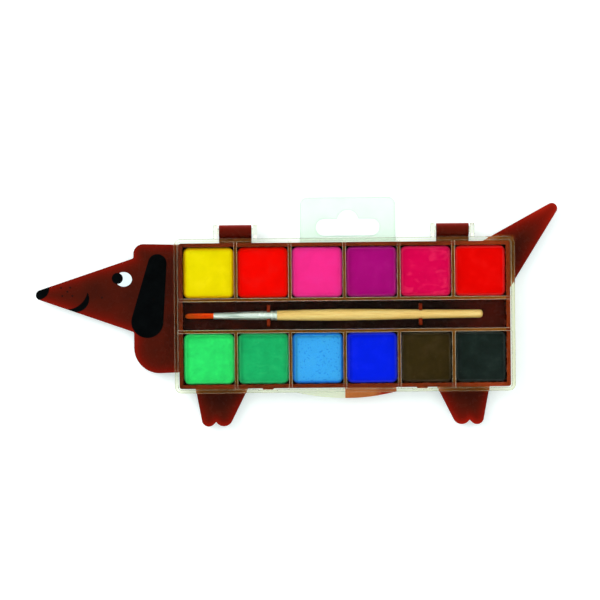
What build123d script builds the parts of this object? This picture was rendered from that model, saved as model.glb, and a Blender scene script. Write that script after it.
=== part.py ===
# Watercolour paint set in a flat dog-shaped case, in millimetres.
# The origin is the middle of the tray's underside, +X runs towards the tail,
# +Y towards the hinges and +Z up through the lid.
from build123d import *
import math
import os

# Tray
well_columns = 6
well_clear = 26.1  # inside size of a square paint well
divider = 1.4  # wall between two wells, and between wells and trough
trough_clear = 14.6  # clear width of the brush trough
tray_wall = 2.0
tray_floor = 1.2
tray_height = 8.6
tray_corner = 1.3

# Flat plates around the tray: head, feet, tail and thumb tab
plate_bottom = 4.0
plate_thickness = 1.8
neck_length = 23.0  # from the tray's side wall to the front of the neck
neck_height = 65.6
neck_top_radius = 5.0
neck_throat_radius = 13.0
snout_length = 47.0  # from the front of the neck to the centre of the nose tip
snout_root_height = 37.5
snout_root_drop = 25.9  # from the top of the neck to the middle of the snout's root
nose_drop = 25.45
nose_radius = 2.6
face_corner_radius = 1.0  # hollow corners where the snout leaves the neck
snout_overlap = 2.0
foot_width = 27.2
foot_spread = 123.0  # between the middles of the two feet
foot_shift = -1.3  # the pair of feet stands this far off the tray's middle
foot_drop = 15.8  # from the tray's front wall to the centres of the small toes
small_toe_radius = 3.5
large_toe_radius = 4.6
small_toe_inset = 7.1  # from the foot's outer corner to the small toe's centre
toe_spacing = 7.7
large_toe_lift = 1.2
tail_reach = 21.8  # from the tray's side wall to the centre of the tail's tip
tail_rise = 16.2  # from the tray's back wall
tail_tip_radius = 2.8
tail_root_along = 14.1  # how far the tail's root reaches along the back wall
tail_root_down = 24.7  # and down the side wall

# Lid
lid_gap = 0.7  # between the tray's wall and the lid's skirt
lid_wall = 1.5
lid_top_thickness = 1.4
lid_edge_radius = 0.6
lid_seat = 0.3  # clearance of skirt and ribs above plates and dividers
rib_height = 1.4
thumb_chord = 52.0
thumb_depth = 3.2  # how far the thumb tab stands out of the lid
thumb_shift = 0.7
thumb_thickness = 1.4
thumb_overlap = 17.0  # how far the lid's tab reaches over the base's half

# Hinges
hinge_spread = 110.0  # between the middles of the two hinges
knuckle_width = 16.5
knuckle_radius = 3.2
knuckle_gap = 0.6  # between the knuckle and the lid's skirt
lug_thickness = 2.0
lug_gap = 0.8
nub_radius = 1.5
nub_depth = 2.4  # how deep a nub sits in the knuckle
hinge_play = 0.08

# Snap bumps on the front wall and the pockets that they sit in
snap_spread = 78.0
snap_width = 6.6
snap_depth = 0.8
snap_height = 1.4
snap_rise = 1.6  # from the plates to the middle of a bump
pocket_margin = 1.6
pocket_depth = 0.6

# Paint cakes
cake_gap = 0.2
cake_recess = 1.9  # from the top of the tray down to the cakes
cake_corner = 2.5
cake_edge_width = 1.8
cake_edge_drop = 1.1

# Brush
bristle_length = 14.6
ferrule_length = 32.2
ferrule_mouth_radius = 1.55
ferrule_back_radius = 2.45
ferrule_wall = 0.3
crimp_depth = 0.12
crimp_width = 0.5
crimp_place = 7.8  # from the handle end of the ferrule
handle_belly_radius = 2.95
handle_belly_place = 26.8
handle_end_radius = 2.05
handle_swell = 0.1  # by which the front half of the taper bulges
handle_round = 1.2
tenon_length = 13.0
tenon_play = 0.05
tip_clearance = 0.8  # from the bristles' tip to the end of the trough
end_clearance = 0.6  # left behind the handle when the brush has slid all the way
brush_travel = 11.0
brush_lift = 0.3  # from the trough's floor to the belly of the handle
strand_count = 140
strand_width = 0.13
strand_root = 6.0  # length of the strands' bound root inside the ferrule
belly_reach = 6.0  # from the ferrule to the widest place of the hair
belly_radius = 1.4
point_length = 5.0
point_taper = 0.9

# Clips that hold the brush in the trough
clip_spread = 77.0
clip_thickness = 1.7
clip_side_gap = 1.7
clip_rise = 2.15  # height of the clip above the brush's axis
clip_play = 0.3

# Hang tab of clear sheet, stuck under the tray
tab_width = 48.8
tab_reach = 23.2  # beyond the tray's back wall
tab_overlap = 26.8  # stuck under the tray
tab_thickness = 0.4
tab_corner = 4.0
tab_shift = 2.1
tab_recess = 0.6
tab_recess_margin = 0.5
slot_width = 32.3
slot_height = 8.4
slot_set_back = 7.8  # from the tray's back wall to the middle of the slot
slot_crown_radius = 5.3
slot_crown_rise = 3.4

# Printed face: ear and eye from the top corner of the neck, the rest from the nose
ink_thickness = 0.12
ear_top = (12.1, -9.9)
ear_top_radius = 4.7
ear_bottom = (6.8, -39.5)
ear_bottom_radius = 8.1
pupil_centre = (-8.2, -17.3)
pupil_radius = 2.8
eye_centre = (-5.0, -17.8)
eye_length = 8.4
eye_height = 7.4
nose_cap_centre = (-1.6, 3.5)
nose_cap_radius = 5.8
smile_top = (23.6, 1.2)
smile_outer = (23.9, -4.4)
smile_inner = (20.6, -4.2)
smile_heel = (17.4, -8.7)
smile_toe = (12.8, -7.4)
freckle_radius = 0.45
freckle_sides = 10
freckles = [(10.2, 3.6), (14.8, 3.7), (13.4, 1.7), (15.9, -0.5), (10.8, -0.5), (30.9, -1.5)]

# Places worked out from the sizes above
well_pitch = well_clear + divider
inside_x = well_columns * well_pitch / 2 - divider / 2
tray_x = inside_x + tray_wall
row_y = trough_clear / 2 + divider + well_clear / 2
inside_y = row_y + well_clear / 2
tray_y = inside_y + tray_wall
divider_y = trough_clear / 2 + divider / 2
plate_top = plate_bottom + plate_thickness
neck_x = -tray_x - neck_length
nose_x = neck_x - snout_length
nose_y = tray_y - nose_drop
lid_bottom = plate_top + lid_seat
rib_bottom = tray_height + lid_seat
lid_under = rib_bottom + rib_height
lid_top = lid_under + lid_top_thickness
skirt_x = tray_x + lid_gap
skirt_y = tray_y + lid_gap
skirt_corner = tray_corner + lid_gap
lid_x = skirt_x + lid_wall
lid_y = skirt_y + lid_wall
hinge_y = lid_y + knuckle_gap + knuckle_radius
hinge_z = (lid_top + tab_recess + lid_seat) / 2  # the open lid then lies just above the hang tab
bore_radius = nub_radius + hinge_play
snap_z = plate_top + snap_rise
cake_size = well_clear - 2 * cake_gap
cake_height = tray_height - tray_floor - cake_recess
brush_z = tray_floor + brush_lift + handle_belly_radius
tip_x = -inside_x + tip_clearance
mouth_x = tip_x + bristle_length
joint_x = mouth_x + ferrule_length
end_x = inside_x - end_clearance - brush_travel
belly_x = joint_x + handle_belly_place
ferrule_slope = (ferrule_back_radius - ferrule_mouth_radius) / ferrule_length
handle_slope = (handle_belly_radius - handle_end_radius) / (end_x - belly_x)
clip_width = trough_clear - 2 * clip_side_gap
slot_y = tray_y + slot_set_back

os.makedirs("parts", exist_ok=True)


def thumb_outline(x_from, x_to, y_back):
    """Half of the shallow bow that the thumb pushes on, cut from a large disc."""
    bow_radius = (thumb_chord**2 / 4 + thumb_depth**2) / (2 * thumb_depth)
    with Locations((thumb_shift, -lid_y - thumb_depth + bow_radius)):
        Circle(bow_radius)
    with Locations(((x_from + x_to) / 2, y_back)):
        Rectangle(x_to - x_from, bow_radius, align=(Align.CENTER, Align.MAX), mode=Mode.INTERSECT)


def tray_cut():
    """Cuts a plate's outline back to the tray's outer wall."""
    RectangleRounded(2 * tray_x, 2 * tray_y, tray_corner, mode=Mode.SUBTRACT)


def head_outline():
    """Neck block and pointed snout, with small hollows where they meet."""
    with BuildSketch(mode=Mode.PRIVATE) as neck:
        with Locations((neck_x, tray_y)):
            Rectangle(neck_length + tray_wall, neck_height, align=(Align.MIN, Align.MAX))
        fillet(neck.vertices().sort_by(Axis.X)[:2].sort_by(Axis.Y)[0], radius=neck_throat_radius)
        fillet(neck.vertices().group_by(Axis.Y)[-1].sort_by(Axis.X)[0], radius=neck_top_radius)
    with BuildSketch(mode=Mode.PRIVATE) as snout:
        with Locations((nose_x, nose_y)):
            Circle(nose_radius)
        with Locations((neck_x, tray_y - snout_root_drop)):
            Rectangle(snout_overlap, snout_root_height, align=(Align.MIN, Align.CENTER))
        make_hull()
    with BuildSketch(mode=Mode.PRIVATE) as head:
        add(neck.sketch)
        add(snout.sketch)
        front = head.vertices().filter_by_position(Axis.X, neck_x - 0.01, neck_x + 0.01)
        fillet(front.sort_by(Axis.Y)[1:-1], radius=face_corner_radius)
    add(head.sketch)


def foot_outline(x_middle, side):
    """A foot that narrows to a small outer toe and a large inner one."""
    outer = x_middle + side * foot_width / 2
    toes = [
        (outer - side * small_toe_inset, -tray_y - foot_drop, small_toe_radius),
        (
            outer - side * (small_toe_inset + toe_spacing),
            -tray_y - foot_drop + large_toe_lift,
            large_toe_radius,
        ),
    ]
    for toe_x, toe_y, toe_radius in toes:
        with BuildSketch(mode=Mode.PRIVATE) as toe:
            with Locations((toe_x, toe_y)):
                Circle(toe_radius)
            with Locations((x_middle, -tray_y)):
                Rectangle(foot_width, tray_wall / 2, align=(Align.CENTER, Align.MIN))
            make_hull()
        add(toe.sketch)


def tail_outline():
    """A long pointed tail rooted on the corner of the tray."""
    with BuildSketch(mode=Mode.PRIVATE) as tail:
        with Locations((tray_x + tail_reach, tray_y + tail_rise)):
            Circle(tail_tip_radius)
        Polygon(
            (tray_x - tail_root_along, tray_y),
            (tray_x, tray_y),
            (tray_x, tray_y - tail_root_down),
        )
        make_hull()
    add(tail.sketch)


def brush_clip(x_middle, held_radius):
    """A pair of springy fingers with a round seat between them."""
    with BuildSketch(Plane.YZ.offset(x_middle - clip_thickness / 2)) as clip:
        with Locations((0, tray_floor)):
            Rectangle(
                clip_width,
                brush_z + clip_rise - tray_floor,
                align=(Align.CENTER, Align.MIN),
            )
        fillet(clip.vertices().group_by(Axis.Y)[-1], radius=clip_thickness / 2)
        with Locations((0, brush_z)):
            Circle(held_radius + clip_play, mode=Mode.SUBTRACT)
    extrude(clip.sketch, amount=clip_thickness)


# Tray: floor and outer walls of the brown moulding, with snap bumps and the hang tab's recess
with BuildPart() as base_tray:
    with BuildSketch():
        RectangleRounded(2 * tray_x, 2 * tray_y, tray_corner)
    extrude(amount=tray_height)
    with BuildSketch(Plane.XY.offset(tray_floor)):
        Rectangle(2 * inside_x, 2 * inside_y)
    extrude(amount=tray_height - tray_floor, mode=Mode.SUBTRACT)
    with GridLocations(snap_spread, 0, 2, 1):
        with Locations((0, -tray_y, snap_z)):
            Wedge(
                snap_width,
                snap_depth,
                snap_height,
                snap_depth,
                snap_height / 4,
                snap_width - snap_depth,
                3 * snap_height / 4,
                align=(Align.CENTER, Align.MIN, Align.CENTER),
                rotation=(0, 0, 180),
            )
    with BuildSketch():
        with Locations((tab_shift, tray_y)):
            Rectangle(
                tab_width + 2 * tab_recess_margin,
                tab_overlap + tab_recess_margin,
                align=(Align.CENTER, Align.MAX),
            )
    extrude(amount=tab_recess, mode=Mode.SUBTRACT)
base_tray.part.label = "base_tray"
export_step(base_tray.part, "parts/base_tray.step")

# Walls that part the wells from the trough, moulded on the tray's floor
with BuildPart() as long_dividers:
    with BuildSketch(Plane.XY.offset(tray_floor)):
        with GridLocations(0, 2 * divider_y, 1, 2):
            Rectangle(2 * inside_x, divider)
    extrude(amount=tray_height - tray_floor)
long_dividers.part.label = "long_dividers"
export_step(long_dividers.part, "parts/long_dividers.step")

# Walls that part one well from the next
with BuildPart() as cross_dividers:
    with BuildSketch(Plane.XY.offset(tray_floor)):
        with GridLocations(well_pitch, 2 * row_y, well_columns - 1, 2):
            Rectangle(divider, well_clear)
    extrude(amount=tray_height - tray_floor)
cross_dividers.part.label = "cross_dividers"
export_step(cross_dividers.part, "parts/cross_dividers.step")

# Springy clips that hold the brush in the trough
ferrule_at_clip = ferrule_mouth_radius + ferrule_slope * (
    -clip_spread / 2 + clip_thickness + clip_play - mouth_x
)
handle_at_clip = handle_end_radius + handle_slope * (
    end_x - clip_spread / 2 + clip_thickness + brush_travel
)
with BuildPart() as brush_clips:
    brush_clip(-clip_spread / 2, ferrule_at_clip)
    brush_clip(clip_spread / 2, handle_at_clip)
brush_clips.part.label = "brush_clips"
export_step(brush_clips.part, "parts/brush_clips.step")

# Plates that stand out from the tray's wall: head, two feet, tail and half of the thumb tab
with BuildPart() as head_plate:
    with BuildSketch(Plane.XY.offset(plate_bottom)):
        head_outline()
        tray_cut()
    extrude(amount=plate_thickness)
head_plate.part.label = "head_plate"
export_step(head_plate.part, "parts/head_plate.step")

with BuildPart() as front_foot:
    with BuildSketch(Plane.XY.offset(plate_bottom)):
        foot_outline(foot_shift - foot_spread / 2, -1)
        tray_cut()
    extrude(amount=plate_thickness)
front_foot.part.label = "front_foot"
export_step(front_foot.part, "parts/front_foot.step")

with BuildPart() as hind_foot:
    with BuildSketch(Plane.XY.offset(plate_bottom)):
        foot_outline(foot_shift + foot_spread / 2, 1)
        tray_cut()
    extrude(amount=plate_thickness)
hind_foot.part.label = "hind_foot"
export_step(hind_foot.part, "parts/hind_foot.step")

with BuildPart() as tail_plate:
    with BuildSketch(Plane.XY.offset(plate_bottom)):
        tail_outline()
        tray_cut()
    extrude(amount=plate_thickness)
tail_plate.part.label = "tail_plate"
export_step(tail_plate.part, "parts/tail_plate.step")

with BuildPart() as thumb_plate:
    with BuildSketch(Plane.XY.offset(plate_bottom)):
        thumb_outline(0, thumb_chord / 2, -tray_y + tray_wall / 2)
        tray_cut()
    extrude(amount=plate_thickness)
thumb_plate.part.label = "thumb_plate"
export_step(thumb_plate.part, "parts/thumb_plate.step")

# Hinge knuckles on their brackets, bored for the lid's nubs
with BuildPart() as hinge_knuckles:
    with BuildSketch(Plane.XY.offset(plate_bottom)):
        with GridLocations(hinge_spread, 0, 2, 1):
            with Locations((0, tray_y)):
                Rectangle(knuckle_width, hinge_y - tray_y, align=(Align.CENTER, Align.MIN))
    extrude(amount=plate_thickness)
    for hinge_x in (-hinge_spread / 2, hinge_spread / 2):
        with BuildSketch(Plane.YZ.offset(hinge_x - knuckle_width / 2)):
            with Locations((hinge_y, hinge_z)):
                Circle(knuckle_radius)
        extrude(amount=knuckle_width)
        with BuildSketch(Plane.YZ.offset(hinge_x - knuckle_width / 2)):
            with Locations((hinge_y, hinge_z)):
                Circle(bore_radius)
        extrude(amount=knuckle_width, mode=Mode.SUBTRACT)
hinge_knuckles.part.label = "hinge_knuckles"
export_step(hinge_knuckles.part, "parts/hinge_knuckles.step")

# Clear lid with its grid of mixing ribs, lugs, nubs and half of the thumb tab
with BuildPart() as lid:
    with BuildSketch(Plane.XY.offset(lid_bottom)):
        RectangleRounded(2 * lid_x, 2 * lid_y, skirt_corner + lid_wall)
    extrude(amount=lid_top - lid_bottom)
    fillet(lid.edges().group_by(Axis.Z)[-1], radius=lid_edge_radius)
    with BuildSketch(Plane.XY.offset(lid_bottom)):
        RectangleRounded(2 * skirt_x, 2 * skirt_y, skirt_corner)
    extrude(amount=lid_under - lid_bottom, mode=Mode.SUBTRACT)
    with BuildSketch(Plane.XY.offset(rib_bottom)):
        with GridLocations(0, 2 * divider_y, 1, 2):
            Rectangle(2 * skirt_x, divider)
        rib_length = skirt_y - divider_y
        with GridLocations(well_pitch, skirt_y + divider_y, well_columns - 1, 2):
            Rectangle(divider, rib_length)
    extrude(amount=rib_height)
    with BuildSketch(Plane.XY.offset(lid_bottom)):
        thumb_outline(-thumb_chord / 2, thumb_overlap, -lid_y + lid_wall / 2)
    extrude(amount=thumb_thickness)
    with BuildSketch(Plane.XY.offset(lid_bottom)):
        with GridLocations(snap_spread, 0, 2, 1):
            with Locations((0, -skirt_y)):
                Rectangle(snap_width + 2 * pocket_margin, 2 * pocket_depth)
    extrude(amount=snap_z + snap_height - lid_bottom, mode=Mode.SUBTRACT)
    for hinge_x in (-hinge_spread / 2, hinge_spread / 2):
        for side in (-1, 1):
            lug_x = hinge_x + side * (knuckle_width / 2 + lug_gap)
            with BuildSketch(Plane.YZ.offset(lug_x)):
                with Locations((hinge_y, hinge_z)):
                    Circle(knuckle_radius)
                with Locations((lid_y - lid_wall / 2, lid_bottom)):
                    lug_root = hinge_z + knuckle_radius - lid_bottom
                    Rectangle(lid_wall / 2, lug_root, align=(Align.MIN, Align.MIN))
                make_hull()
            extrude(amount=side * lug_thickness)
            with BuildSketch(Plane.YZ.offset(lug_x)):
                with Locations((hinge_y, hinge_z)):
                    Circle(nub_radius)
            extrude(amount=-side * (lug_gap + nub_depth))
lid.part.label = "lid"
export_step(lid.part, "parts/lid.step")

# Paint cakes: soft-edged tablets, one to a well, left to right and back row first
paint_names = [
    ["yellow", "orange_red", "pink", "purple", "crimson", "red"],
    ["light_green", "green", "light_blue", "blue", "brown", "black"],
]
for row, names in enumerate(paint_names):
    for column, name in enumerate(names):
        cake_x = (column - (well_columns - 1) / 2) * well_pitch
        cake_y = row_y - 2 * row_y * row
        with BuildPart() as cake:
            with BuildSketch(Plane((cake_x, cake_y, tray_floor))):
                RectangleRounded(cake_size, cake_size, cake_corner)
            extrude(amount=cake_height)
            rim = cake.edges().group_by(Axis.Z)[-1]
            top = cake.faces().sort_by(Axis.Z)[-1]
            chamfer(rim, length=cake_edge_width, length2=cake_edge_drop, reference=top)
        cake.part.label = "paint_" + name
        export_step(cake.part, "parts/paint_" + name + ".step")

# Wooden handle with a tenon that fills the back of the ferrule
brush_plane = Plane((0, 0, brush_z), x_dir=(1, 0, 0), z_dir=(0, -1, 0))
tenon_start = joint_x - tenon_length
tenon_radius = ferrule_back_radius - ferrule_wall - tenon_play
with BuildPart() as brush_handle:
    with BuildSketch(brush_plane):
        Polygon(
            (tenon_start, 0),
            (tenon_start, tenon_radius - ferrule_slope * tenon_length),
            (joint_x, tenon_radius),
            (joint_x, ferrule_back_radius),
            ((joint_x + belly_x) / 2, (ferrule_back_radius + handle_belly_radius) / 2 + handle_swell),
            (belly_x, handle_belly_radius),
            (end_x - handle_round, handle_end_radius),
            (end_x, handle_end_radius - handle_round),
            (end_x, 0),
        )
    revolve(axis=Axis(brush_plane.origin, (1, 0, 0)))
brush_handle.part.label = "brush_handle"
export_step(brush_handle.part, "parts/brush_handle.step")

# Metal ferrule: a tapered tube crimped onto the tenon
with BuildPart() as brush_ferrule:
    with BuildSketch(brush_plane):
        Polygon(
            (mouth_x, ferrule_mouth_radius - ferrule_wall),
            (joint_x, ferrule_back_radius - ferrule_wall),
            (joint_x, ferrule_back_radius),
            (mouth_x, ferrule_mouth_radius),
        )
        crimp_x = joint_x - crimp_place
        crimp_radius = ferrule_back_radius - ferrule_slope * crimp_place
        Polygon(
            (crimp_x - crimp_width, crimp_radius + crimp_depth),
            (crimp_x + crimp_width, crimp_radius + crimp_depth),
            (crimp_x, crimp_radius - crimp_depth),
            mode=Mode.SUBTRACT,
        )
    revolve(axis=Axis(brush_plane.origin, (1, 0, 0)))
brush_ferrule.part.label = "brush_ferrule"
export_step(brush_ferrule.part, "parts/brush_ferrule.step")


def hair_point(x, reach, turn):
    """A place in the hair, by its distance from the brush's axis and its turn around it."""
    return (x, reach * math.cos(turn), brush_z + reach * math.sin(turn))


# Bristles: strands in a sunflower pattern that swell, then close to a point
golden_turn = math.pi * (3 - math.sqrt(5))
root_radius = ferrule_mouth_radius - ferrule_wall - tenon_play
strands = []
for index in range(strand_count):
    share = math.sqrt((index + 0.5) / strand_count)
    turn = index * golden_turn
    root_reach = share * (root_radius - strand_width)
    belly_share = share * (belly_radius - strand_width / 2)
    strand_end = tip_x + point_length * share**3
    stations = [
        (mouth_x + strand_width, root_reach, strand_width),
        (mouth_x - belly_reach, belly_share, strand_width),
        (strand_end, belly_share * point_taper, strand_width / 2),
    ]
    with BuildPart() as strand:
        for x, reach, width in stations:
            middle = hair_point(x, reach, turn)
            with BuildSketch(Plane(middle, x_dir=(0, 1, 0), z_dir=(-1, 0, 0))):
                RegularPolygon(width / 2, 3)
        loft(ruled=True)
    strands.append(strand.part)
with BuildPart() as brush_bristles:
    with BuildSketch(brush_plane):
        Polygon(
            (mouth_x, 0),
            (mouth_x + strand_root, 0),
            (mouth_x + strand_root, root_radius + ferrule_slope * strand_root),
            (mouth_x, root_radius),
        )
    revolve(axis=Axis(brush_plane.origin, (1, 0, 0)))
    add(strands)
brush_bristles.part.label = "brush_bristles"
export_step(brush_bristles.part, "parts/brush_bristles.step")

# Hang tab with a shop hook's slot, stuck into the recess under the tray
with BuildPart() as hang_tab:
    with BuildSketch(Plane.XY.offset(tab_recess - tab_thickness)) as tab_outline:
        with Locations((tab_shift, tray_y + tab_reach)):
            Rectangle(tab_width, tab_reach + tab_overlap, align=(Align.CENTER, Align.MAX))
        fillet(tab_outline.vertices().group_by(Axis.Y)[-1], radius=tab_corner)
        with Locations((tab_shift, slot_y)):
            SlotOverall(slot_width, slot_height, mode=Mode.SUBTRACT)
        with Locations((tab_shift, slot_y + slot_crown_rise)):
            Circle(slot_crown_radius, mode=Mode.SUBTRACT)
    extrude(amount=tab_thickness)
hang_tab.part.label = "hang_tab"
export_step(hang_tab.part, "parts/hang_tab.step")

# Printed face, each patch a thin layer of ink on the head's plate
head_corner = Plane((neck_x, tray_y, plate_top))
nose_plane = Plane((nose_x, nose_y, plate_top))
with BuildPart() as ear_print:
    with BuildSketch(head_corner):
        with Locations(ear_top):
            Circle(ear_top_radius)
        with Locations(ear_bottom):
            Circle(ear_bottom_radius)
        make_hull()
    extrude(amount=ink_thickness)
ear_print.part.label = "ear_print"
export_step(ear_print.part, "parts/ear_print.step")

with BuildPart() as eye_white_print:
    with BuildSketch(head_corner):
        with Locations(eye_centre):
            Ellipse(eye_length / 2, eye_height / 2)
        with Locations(pupil_centre):
            Circle(pupil_radius, mode=Mode.SUBTRACT)
    extrude(amount=ink_thickness)
eye_white_print.part.label = "eye_white_print"
export_step(eye_white_print.part, "parts/eye_white_print.step")

with BuildPart() as pupil_print:
    with BuildSketch(head_corner):
        with Locations(pupil_centre):
            Circle(pupil_radius)
    extrude(amount=ink_thickness)
pupil_print.part.label = "pupil_print"
export_step(pupil_print.part, "parts/pupil_print.step")

with BuildPart() as head_layer:
    with BuildSketch(Plane.XY.offset(plate_top)):
        head_outline()
    extrude(amount=ink_thickness)

with BuildPart() as nose_print:
    with BuildSketch(nose_plane):
        with Locations(nose_cap_centre):
            Circle(nose_cap_radius)
    extrude(amount=ink_thickness)
    add(head_layer.part, mode=Mode.INTERSECT)
nose_print.part.label = "nose_print"
export_step(nose_print.part, "parts/nose_print.step")

with BuildPart() as smile_print:
    with BuildSketch(nose_plane):
        with BuildLine():
            ThreePointArc(smile_top, smile_outer, smile_heel)
            Line(smile_heel, smile_toe)
            ThreePointArc(smile_toe, smile_inner, smile_top)
        make_face()
    extrude(amount=ink_thickness)
    add(head_layer.part, mode=Mode.INTERSECT)
smile_print.part.label = "smile_print"
export_step(smile_print.part, "parts/smile_print.step")

with BuildPart() as freckle_prints:
    with BuildSketch(nose_plane):
        with Locations(freckles):
            RegularPolygon(freckle_radius, freckle_sides)
    extrude(amount=ink_thickness)
freckle_prints.part.label = "freckle_prints"
export_step(freckle_prints.part, "parts/freckle_prints.step")
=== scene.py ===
# %% [markdown]
# # A child's watercolour set in the shape of a dog
#
# The set is one flat brown moulding with twelve square wells and a trough for
# the brush, a clear lid on two hinges and a clear tab to hang it by. The CAD
# model fixes every size and place. This lesson dresses it: each piece gets the
# soft edges, the finish and the small faults of the real one.

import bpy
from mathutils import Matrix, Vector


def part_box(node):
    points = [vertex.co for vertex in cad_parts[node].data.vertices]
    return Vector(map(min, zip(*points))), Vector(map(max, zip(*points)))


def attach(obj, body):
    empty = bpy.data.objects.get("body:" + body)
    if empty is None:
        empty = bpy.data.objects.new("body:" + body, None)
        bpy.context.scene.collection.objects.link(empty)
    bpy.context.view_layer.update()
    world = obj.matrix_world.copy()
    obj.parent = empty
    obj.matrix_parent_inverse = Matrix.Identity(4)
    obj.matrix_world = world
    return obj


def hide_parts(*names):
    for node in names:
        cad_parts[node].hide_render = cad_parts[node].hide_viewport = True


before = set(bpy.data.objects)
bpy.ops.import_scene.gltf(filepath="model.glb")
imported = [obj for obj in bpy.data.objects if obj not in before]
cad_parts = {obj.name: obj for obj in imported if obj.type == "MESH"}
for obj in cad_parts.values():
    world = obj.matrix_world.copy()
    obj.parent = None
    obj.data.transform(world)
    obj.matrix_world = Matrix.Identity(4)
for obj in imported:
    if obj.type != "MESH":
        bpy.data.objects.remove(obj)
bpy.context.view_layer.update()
print("CAD nodes:", len(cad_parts))

# %% Tools that the lesson uses
import math
from functools import partial

import bmesh
import bpy
import numpy as np
from mathutils import Euler, Vector

scene = bpy.context.scene
MM = 0.001
OUTER_WALL = 2.0 * MM
tray_high = Vector(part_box("base_tray")[1])
tray_x, tray_top = tray_high.x, tray_high.z
tray_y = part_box("cross_dividers")[1][1] + OUTER_WALL
tray_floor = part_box("cross_dividers")[0][2]
print("tray reaches", round(tray_x / MM, 1), "by", round(tray_y / MM, 1), "mm from its middle")

# %% [markdown]
# ## Small helpers for finishes
#
# A finish is a short chain of nodes in front of one Principled shader. Patterns
# read Object coordinates, so they keep their true size in millimetres wherever
# the piece lies. Some patterns follow the form instead: a mesh can carry a value
# on its points, and the finish reads it by name. Colours are written as the eye
# sees them, from 0 to 255, and turned into light values.


# %% Helpers for nodes
def light(red, green, blue):
    """Turns a colour as seen on a screen into the light values of nodes."""
    values = []
    for part in (red, green, blue):
        share = part / 255
        values.append(share / 12.92 if share <= 0.04045 else ((share + 0.055) / 1.055) ** 2.4)
    return (*values, 1.0)


def put(tree, value, socket):
    """Links what comes out of a node to a socket, or writes a plain value there."""
    if isinstance(value, bpy.types.NodeSocket):
        tree.links.new(value, socket)
    else:
        socket.default_value = value


def added(tree, kind, **sockets):
    """A new node with values or links on its named sockets."""
    made = tree.nodes.new(kind)
    for socket, value in sockets.items():
        put(tree, value, made.inputs[socket.replace("_", " ")])
    return made


def calculated(tree, operation, *values):
    """The result of one maths node."""
    made = tree.nodes.new("ShaderNodeMath")
    made.operation = operation
    for value, socket in zip(values, made.inputs):
        put(tree, value, socket)
    return made.outputs[0]


print("middle grey is", round(light(128, 128, 128)[0], 3), "as light")


# %% A finish with its patterns
class Finish:
    """A material with one Principled shader and a few ways to lead patterns into it."""

    def __init__(self, name, **sockets):
        self.material = bpy.data.materials.new(name)
        self.material["record_slot"] = name
        self.material.use_nodes = True
        self.tree = self.material.node_tree
        self.shader = self.tree.nodes["Principled BSDF"]
        self.place = self.node("TexCoord").outputs["Object"]
        for socket, value in sockets.items():
            self.shader.inputs[socket.replace("_", " ")].default_value = value

    def node(self, kind, **sockets):
        return added(self.tree, "ShaderNode" + kind, **sockets)

    def attribute(self, name):
        """A value that the mesh carries on its points."""
        made = self.node("Attribute")
        made.attribute_name = name
        return made.outputs["Fac"]

    def stretched(self, x, y, z):
        """Object coordinates stretched along the axes, to draw a grain out."""
        return self.node("Mapping", Vector=self.place, Scale=(x, y, z)).outputs["Vector"]

    def noise(self, grain, detail=3.0, roughness=0.55, place=None, distortion=0.0):
        """A noise whose patches are about as wide as the grain, in millimetres."""
        made = self.node(
            "TexNoise", Vector=place or self.place, Scale=1 / (grain * MM),
            Detail=detail, Roughness=roughness, Distortion=distortion)
        return made.outputs["Fac"]

    def ramp(self, value, *stops):
        """Colours at places along a value from 0 to 1."""
        made = self.node("ValToRGB", Fac=value)
        ramp = made.color_ramp
        while len(ramp.elements) < len(stops):
            ramp.elements.new(0.5)
        for element, (position, colour) in zip(ramp.elements, stops):
            element.position = position
            element.color = colour
        return made.outputs["Color"]

    def scaled(self, value, low, high, start=0.0, end=1.0):
        """The value from start to end, moved into the range from low to high."""
        made = self.node(
            "MapRange", Value=value, From_Min=start, From_Max=end, To_Min=low, To_Max=high)
        return made.outputs["Result"]

    def mixed(self, factor, first, second):
        """The first colour, and the second one where the factor is high."""
        made = self.node("Mix")
        made.data_type = "RGBA"
        for index, value in ((0, factor), (6, first), (7, second)):
            put(self.tree, value, made.inputs[index])
        return made.outputs[2]

    def lead(self, value, socket):
        self.tree.links.new(value, self.shader.inputs[socket])

    def roughen(self, pattern, low, high):
        """Lets the roughness follow a pattern, from low to high."""
        self.lead(self.scaled(pattern, low, high, 0.35, 0.65), "Roughness")

    def bump(self, value, height):
        """Raises the surface by up to the height, in millimetres."""
        made = self.node("Bump", Height=value, Distance=height * MM, Strength=1.0)
        normal = self.shader.inputs["Normal"]
        if normal.is_linked:
            self.tree.links.new(normal.links[0].from_socket, made.inputs["Normal"])
        self.lead(made.outputs["Normal"], "Normal")


print("helpers for finishes ready")
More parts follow.
